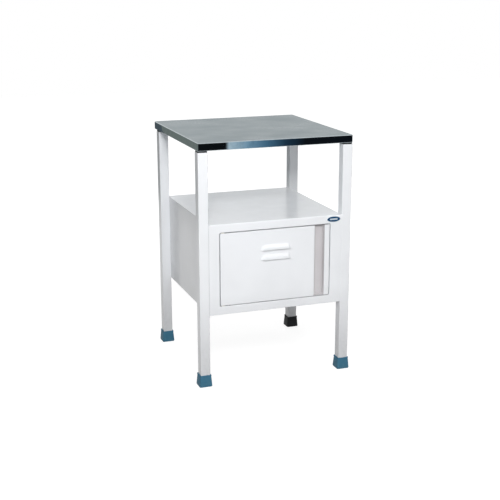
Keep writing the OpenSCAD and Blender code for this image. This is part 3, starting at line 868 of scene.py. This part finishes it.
class CABINET_OT_badge(Operator):
    """Models the blank oval plate: a blue field, a raised pale rim and a plain pale bar."""

    bl_idname = "cabinet.badge"
    bl_label = "Oval plate"

    rim = 1.1 * MM
    field_sunk = 0.25 * MM
    bar_length = 0.58  # share of the plate's length
    bar_height = 0.25  # share of its height
    bar_sunk = 0.02 * MM
    bar_thickness = 0.58 * MM

    def execute(self, context):
        low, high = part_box("badge_plate")
        middle = (low + high) / 2
        half = (high - low) / 2
        clear_selection()
        bpy.ops.mesh.primitive_cylinder_add(vertices=64, radius=half.x, depth=high.y - low.y, location=middle,
                                            rotation=(QUARTER_TURN, 0, 0))
        plate = named(bpy.context.object, "oval_plate")
        bpy.ops.object.transform_apply(location=True, rotation=True, scale=True)
        edit(plate)
        bpy.ops.mesh.select_all(action="SELECT")
        bpy.ops.transform.resize(value=(1, 1, half.z / half.x), center_override=middle)
        pick(plate, "FACE", lambda f: f.normal.y < -0.9)
        bpy.ops.mesh.inset(thickness=self.rim)
        push((0, self.field_sunk, 0))
        bpy.ops.object.mode_set(mode="OBJECT")
        ease(plate, 0.15 * MM)
        reach = Vector((half.x * self.bar_length, 0, half.z * self.bar_height))
        face = Vector((middle.x, low.y + self.bar_sunk, middle.z))
        bar = block("plate_bar", face - reach, face + reach + Vector((0, self.bar_thickness, 0)))
        edit(bar)
        round_edges(bar, lambda e: runs_along(e, 1), half.z * 0.24, 5)
        ease(bar, 0.12 * MM)
        enamels = [vitreous_enamel_blue, vitreous_enamel_pale]
        rim_face = low.y + 0.8 * self.field_sunk
        paint(plate, enamels, lambda f: 1 if f.center.y < rim_face or abs(f.normal.y) < 0.9 else 0)
        paint(bar, enamels, lambda f: 1)
        only(plate)
        bar.select_set(True)
        bpy.ops.object.join()
        done(plate, "cabinet", "blue_enamel", "badge_plate")
        return {"FINISHED"}


# ---- Door ----


class CABINET_OT_door(Operator):
    """Models the door: one folded sheet with a recessed pull and pressed louvres, and its liner."""

    bl_idname = "cabinet.door"
    bl_label = "Door"

    columns = 34  # faces along a louvre
    rows = 10     # faces down a louvre
    sill_rise = 3 * MM
    past_louvre = 60 * MM   # the face is cut as far as this beyond a louvre, and the free strip is left whole
    end_slant = 9 * MM      # how much shorter a louvre is at its top than at its lip
    end_blend = 6 * MM      # length of a louvre's rounded end
    flat_top = 0.12         # share of its height before a louvre starts to rise
    rise_rate = 1.7

    def execute(self, context):
        s = sizes()
        low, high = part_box("door_skin")
        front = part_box("front_frame")[0].y
        low = Vector((low.x, front, low.z))
        skin = block("door_folded_sheet", low, high)
        pull_right = high.x - s.pull_strip
        pull_left = pull_right - s.pull_width
        middle = (low.x + high.x) / 2
        edit(skin)
        drop(skin, faces_to((0, 1, 0)))
        self.make_pull(skin, pull_left, pull_right, front, low.z)
        tops = [high.z - s.louvre_drop - i * s.louvre_spacing for i in range(s.louvre_count)]
        for top in tops:
            self.open_slot(skin, middle, top, front)
        self.round_folds(skin, low, high, pull_left, pull_right, front)
        bpy.ops.object.mode_set(mode="OBJECT")
        hoods = [self.hood(middle, tops[0], front)]
        for top in tops[1:]:
            hoods.append(copy_to(hoods[0], "louvre", Matrix.Translation((0, 0, top - tops[0]))))
        only(skin)
        for hood in hoods:
            hood.select_set(True)
        bpy.ops.object.join()
        edit(skin)
        bpy.ops.mesh.select_all(action="SELECT")
        bpy.ops.mesh.remove_doubles(threshold=0.01 * MM)
        face_forward(skin, front)
        thicken(skin, s.sheet)
        smooth(skin)
        # the faces inside the pull take the greyer enamel: painted shade of the recess, and partly grime from
        # fingers
        paint(skin, [white_stoved_enamel, pull_shade_and_grime_enamel],
              lambda f: 1 if pull_left < f.center.x < pull_right and f.center.y > front + s.fold else 0)
        done(skin, "door", "painted_steel", "door_skin", "pull_channel")
        eased_copy("door_liner", "door", "painted_steel", white_stoved_enamel, s.ease)
        return {"FINISHED"}

    def make_pull(self, skin, left, right, front, bottom):
        """Opens the sheet between two upright cuts and folds a channel into it, with a sloping sill."""
        s = sizes()
        cut(skin, 0, left)
        cut(skin, 0, right)
        drop(skin, lambda f: left < f.calc_center_median().x < right)
        pick(skin, "EDGE", lambda e: at(e, 1, front) and (at(e, 0, left) or at(e, 0, right)))
        push((0, s.pull_depth, 0))
        pick(skin, "EDGE", lambda e: at(e, 1, front + s.pull_depth) and (at(e, 0, left) or at(e, 0, right)))
        bpy.ops.mesh.bridge_edge_loops()
        pick(skin, "EDGE", lambda e: at(e, 1, front + s.pull_depth) and at(e, 2, bottom))
        bpy.ops.transform.translate(value=(0, 0, self.sill_rise + s.sheet))
        push((0, -s.pull_depth, -self.sill_rise))
        round_edges(skin, lambda e: at(e, 1, front + s.pull_depth) and len(e.link_faces) == 2
                    and (at(e, 0, left) or at(e, 0, right)), s.pull_bend, 4)

    def open_slot(self, skin, middle, top, front):
        """Cuts out the place of one louvre and divides its border to meet the hood."""
        s = sizes()
        left, right = middle - s.louvre_length / 2, middle + s.louvre_length / 2
        bottom = top - s.louvre_height
        for axis, value in ((0, left), (0, right), (2, top), (2, bottom)):
            cut(skin, axis, value,
                lambda f: at(f, 1, front) and f.calc_center_median().x < right + self.past_louvre)
        drop(skin, lambda f: at(f, 1, front) and within(f, 0, left, right) and within(f, 2, bottom, top))
        pick(skin, "EDGE", lambda e: at(e, 1, front) and at(e, 2, top) and within(e, 0, left, right))
        bpy.ops.mesh.subdivide(number_cuts=self.columns - 1)
        pick(skin, "EDGE", lambda e: at(e, 1, front) and (at(e, 0, left) or at(e, 0, right))
             and within(e, 2, bottom, top))
        bpy.ops.mesh.subdivide(number_cuts=self.rows - 1)

    def hood(self, middle, top, front):
        """One pressed louvre: it rises from the sheet at its top and ends to a lip over the open slot."""
        s = sizes()
        clear_selection()
        bpy.ops.mesh.primitive_grid_add(x_subdivisions=self.columns, y_subdivisions=self.rows, size=1,
                                        location=(middle, front, top - s.louvre_height / 2),
                                        rotation=(QUARTER_TURN, 0, 0))
        hood = named(bpy.context.object, "louvre")
        hood.scale = (s.louvre_length, s.louvre_height, 1)
        bpy.ops.object.transform_apply(location=True, rotation=True, scale=True)
        for v in hood.data.vertices:
            down = max(0, (top - v.co.z) / s.louvre_height)
            reach = s.louvre_length / 2 - self.end_slant * (1 - down)
            inside = min(1, max(0, (reach - abs(v.co.x - middle)) / self.end_blend))
            ends = inside * inside * (3 - 2 * inside)
            rise = math.sin(min(1, max(0, down - self.flat_top) * self.rise_rate) * QUARTER_TURN) ** 1.2
            v.co.y -= s.louvre_out * ends * rise
        return hood

    def round_folds(self, skin, low, high, left, right, front):
        """Rounds the folds along the outside of the door and at the mouth of the pull."""
        s = sizes()
        for places, radius, segments in (((low.x, high.x), s.door_bend, 4), ((left, right), s.fold, 3)):
            round_edges(skin, lambda e: runs_along(e, 2) and at(e, 1, front)
                        and any(at(e, 0, x) for x in places), radius, segments)


# ---- Hardware ----


class CABINET_OT_hardware(Operator):
    """Finishes the hinges, the catch, the stop and the fasteners."""

    bl_idname = "cabinet.hardware"
    bl_label = "Hardware"

    # node, body, slot, finish, width of the eased edge in millimetres
    parts = (
        ("plug_studs", "cabinet", "zinc_plated", bright_zinc_plate, 0.4),
        ("stud_nuts", "cabinet", "zinc_plated", bright_zinc_plate, 0.5),
        ("body_screws", "cabinet", "zinc_plated", bright_zinc_plate, 0.4),
        ("rivet_nuts", "cabinet", "zinc_plated", bright_zinc_plate, 0.2),
        ("hinge_bracket_upper", "cabinet", "zinc_plated", bright_zinc_plate, 0.4),
        ("hinge_bracket_lower", "cabinet", "zinc_plated", bright_zinc_plate, 0.4),
        ("bracket_rivets", "cabinet", "zinc_plated", bright_zinc_plate, 0.3),
        ("hinge_bush_upper", "cabinet", "nylon", natural_nylon, 0.3),
        ("hinge_bush_lower", "cabinet", "nylon", natural_nylon, 0.3),
        ("catch_bracket", "cabinet", "zinc_plated", bright_zinc_plate, 0.3),
        ("catch_body", "cabinet", "white_plastic", white_abs, 0.6),
        ("catch_magnet", "cabinet", "ferrite_and_poles", sintered_ferrite, 0.2),
        ("catch_screws", "cabinet", "zinc_plated", bright_zinc_plate, 0.3),
        ("door_stop", "cabinet", "painted_steel", white_stoved_enamel, 0.3),
        ("door_buffer", "cabinet", "buffer_rubber", moulded_rubber_black, 0.5),
        ("hinge_block_upper", "door", "zinc_plated", bright_zinc_plate, 0.4),
        ("hinge_block_lower", "door", "zinc_plated", bright_zinc_plate, 0.4),
        ("hinge_pin_upper", "door", "zinc_plated", bright_zinc_plate, 0.2),
        ("hinge_pin_lower", "door", "zinc_plated", bright_zinc_plate, 0.2),
        ("strike_plate", "door", "zinc_plated", bright_zinc_plate, 0.3),
        ("strike_rivets", "door", "zinc_plated", bright_zinc_plate, 0.3),
    )

    def execute(self, context):
        for node, body, slot, maker, width in self.parts:
            eased_copy(node, body, slot, maker, width * MM)
        return {"FINISHED"}


# ---- Stage ----


class CABINET_OT_stage(Operator):
    """Sets out the floor, the white background, the lights, the reflector cards and the camera."""

    bl_idname = "cabinet.stage"
    bl_label = "Stage"

    # name, place, aim in metres, power in watts, side in metres
    lamps = (
        ("key_front", (-0.75, -2.2, 1.8), (0, 0, 0.5), 44, 0.7),
        ("key_right", (0.9, -2.2, 1.5), (0, 0, 0.6), 10, 0.9),
        ("fill_left", (-2.2, -1.2, 1.3), (0, 0, 0.5), 4, 1.0),
        ("rear", (0.6, 2.4, 1.5), (0, 0, 0.4), 14, 1.2),
        ("overhead", (0.2, 0.5, 2.7), (0, 0, 0.6), 16, 1.6),
    )
    card_height = 0.95
    camera_place = (-1.1275, -3.1692, 1.2647)
    yaw, pitch, roll = 0.3420, -0.2806, -0.0012
    sensor, lens, shift = 36, 74.11, 0.04

    def execute(self, context):
        context.scene.view_settings.view_transform = "Standard"
        self.white_world()
        self.floor()
        for lamp in self.lamps:
            self.lamp(*lamp)
        self.cards()
        self.camera()
        return {"FINISHED"}

    def seen(self, tree):
        """1 for what is seen directly, in a gloss or through glass, and 0 for light on the object."""
        path = add_node(tree, "LightPath")
        total = path.outputs["Is Camera Ray"]
        for ray in ("Is Glossy Ray", "Is Transmission Ray"):
            total = add_node(tree, "Math", {0: total, 1: path.outputs[ray]}, operation="MAXIMUM").outputs[0]
        return total

    def white_world(self):
        """White where it is seen, and a soft light on the object."""
        world = bpy.data.worlds.new("white_room")
        bpy.context.scene.world = world
        world.use_nodes = True
        tree = world.node_tree
        tree.nodes.clear()
        level = add_node(tree, "MapRange", {"Value": self.seen(tree), "To Min": 0.25, "To Max": 1})
        light = add_node(tree, "Background", {"Color": (1, 1, 1, 1), "Strength": level.outputs[0]})
        add_node(tree, "OutputWorld", {"Surface": light.outputs[0]})

    def floor(self):
        """A pale floor that stays white where it is lit, and keeps the cabinet's shadow."""
        clear_selection()
        bpy.ops.mesh.primitive_plane_add(size=16)
        floor = named(bpy.context.object, "floor")
        made = bpy.data.materials.new("pale_floor")
        made.use_nodes = True
        tree = made.node_tree
        tree.nodes.clear()
        paint = add_node(tree, "BsdfDiffuse", {"Color": (0.3, 0.3, 0.3, 1)})
        place = add_node(tree, "TexCoord").outputs["Object"]
        away = add_node(tree, "VectorMath", {0: place}, operation="LENGTH").outputs["Value"]
        # pure white beyond the cabinet's shadow
        level = add_node(tree, "MapRange", {"Value": away, "From Min": 0.9, "From Max": 1.9,
                                            "To Min": 0.84, "To Max": 1})
        strength = add_node(tree, "Math", {0: self.seen(tree), 1: level.outputs[0]}, operation="MULTIPLY")
        glow = add_node(tree, "Emission", {"Color": (1, 1, 1, 1), "Strength": strength.outputs[0]})
        both = add_node(tree, "AddShader", {0: paint.outputs[0], 1: glow.outputs[0]})
        add_node(tree, "OutputMaterial", {"Surface": both.outputs[0]})
        floor.data.materials.append(made)

    def lamp(self, name, place, aim, power, size):
        """A square soft light."""
        data = bpy.data.lights.new(name, "AREA")
        data.energy, data.size = power, size
        obj = bpy.data.objects.new(name, data)
        bpy.context.scene.collection.objects.link(obj)
        obj.location = place
        obj.rotation_euler = (Vector(aim) - Vector(place)).to_track_quat("-Z", "Y").to_euler()
        obj.visible_glossy = False

    def card(self, name, low, high, stops):
        """An upright card that only reflections show, with a run of colours along its longer side."""
        card = block(name, low, high)
        made = bpy.data.materials.new(name + "_card")
        made.use_nodes = True
        tree = made.node_tree
        tree.nodes.clear()
        place = add_node(tree, "TexCoord").outputs["Object"]
        split = add_node(tree, "SeparateXYZ", {"Vector": place})
        axis = "X" if abs(high[0] - low[0]) > abs(high[1] - low[1]) else "Y"
        first, last = (low[0], high[0]) if axis == "X" else (low[1], high[1])
        along = add_node(tree, "MapRange", {"Value": split.outputs[axis], "From Min": first,
                                            "From Max": last})
        ramp = add_node(tree, "ValToRGB", {"Fac": along.outputs[0]})
        while len(ramp.color_ramp.elements) > 1:
            ramp.color_ramp.elements.remove(ramp.color_ramp.elements[-1])
        for i, (value, code) in enumerate(stops):
            at_share = (value - first) / (last - first)
            stop = ramp.color_ramp.elements[0] if i == 0 else ramp.color_ramp.elements.new(at_share)
            stop.position = at_share
            stop.color = opaque(linear(code))
        glow = add_node(tree, "Emission", {"Color": ramp.outputs["Color"], "Strength": 1.0})
        add_node(tree, "OutputMaterial", {"Surface": glow.outputs[0]})
        card.data.materials.append(made)
        for ray in ("camera", "diffuse", "transmission", "volume_scatter", "shadow"):
            setattr(card, "visible_" + ray, False)

    def cards(self):
        """Dark and blue cards that give the polished rim something to mirror."""
        self.card("front", (-2.2, -1.81, 0), (2.2, -1.8, self.card_height), (
            (-2.2, "#3a4a55"), (-0.2, "#262e34"), (0.05, "#16191c"), (0.350, "#14171a"), (0.356, "#d8ecf8"),
            (0.46, "#8fb6d0"), (0.54, "#5a86a4"), (0.64, "#28445a"), (0.74, "#161a20"), (2.2, "#1a1d24")))
        self.card("left", (-0.91, -1.7, 0), (-0.9, 2.6, self.card_height), (
            (-1.7, "#8b928f"), (0.2, "#868d89"), (2.6, "#7d8581")))
        self.card("right", (1.3, -1.7, 0), (1.31, 2.6, self.card_height), (
            (-1.7, "#0c0f12"), (0.2, "#5d6b75"), (2.6, "#8a9499")))
        self.card("rear", (-2.2, 2.6, 0), (2.2, 2.61, self.card_height), (
            (-2.2, "#8a9499"), (-0.3, "#2b3a45"), (0.3, "#6f8796"), (2.2, "#31414c")))

    def camera(self):
        """A camera standing to the front left, a little above the top."""
        data = bpy.data.cameras.new("camera")
        camera = bpy.data.objects.new("camera", data)
        bpy.context.scene.collection.objects.link(camera)
        yaw, pitch, roll = self.yaw, self.pitch, self.roll
        forward = Vector((math.sin(yaw) * math.cos(pitch), math.cos(yaw) * math.cos(pitch), math.sin(pitch)))
        right = Vector((math.cos(yaw), -math.sin(yaw), 0))
        up = right.cross(forward)
        side = math.cos(roll) * right + math.sin(roll) * up
        top = side.cross(forward)
        camera.location = self.camera_place
        camera.rotation_euler = Matrix((side, top, -forward)).transposed().to_euler()
        data.sensor_width, data.lens, data.shift_y = self.sensor, self.lens, self.shift
        data.clip_start, data.clip_end = 0.05, 60
        data.dof.use_dof = False
        bpy.context.scene.camera = camera


# ---- Panel and registration ----


class CABINET_PT_sidebar(Panel):
    """Lists the sizes, the colours and the steps."""

    bl_label = "Bedside cabinet"
    bl_space_type = "VIEW_3D"
    bl_region_type = "UI"
    bl_category = "Cabinet"

    def draw(self, context):
        layout = self.layout
        for group in (context.scene.cabinet_sizes, context.scene.cabinet_colours):
            column = layout.column(align=True)
            for key in group.__annotations__:
                column.prop(group, key)
        for step in STEPS:
            layout.operator(step.bl_idname)


STEPS = (CABINET_OT_legs, CABINET_OT_shoes, CABINET_OT_plugs, CABINET_OT_top, CABINET_OT_front_and_shelf,
         CABINET_OT_panels, CABINET_OT_badge, CABINET_OT_door, CABINET_OT_hardware, CABINET_OT_stage)
CLASSES = (CabinetSizes, CabinetColours, *STEPS, CABINET_PT_sidebar)


def register():
    """Registers the classes and the two groups of settings."""
    for each in CLASSES:
        bpy.utils.register_class(each)
    bpy.types.Scene.cabinet_sizes = PointerProperty(type=CabinetSizes)
    bpy.types.Scene.cabinet_colours = PointerProperty(type=CabinetColours)


def unregister():
    """Takes them away again."""
    del bpy.types.Scene.cabinet_colours
    del bpy.types.Scene.cabinet_sizes
    for each in reversed(CLASSES):
        bpy.utils.unregister_class(each)


def main():
    register()
    for step in STEPS:
        group, name = step.bl_idname.split(".")
        getattr(getattr(bpy.ops, group), name)()


if __name__ == "__main__":
    main()
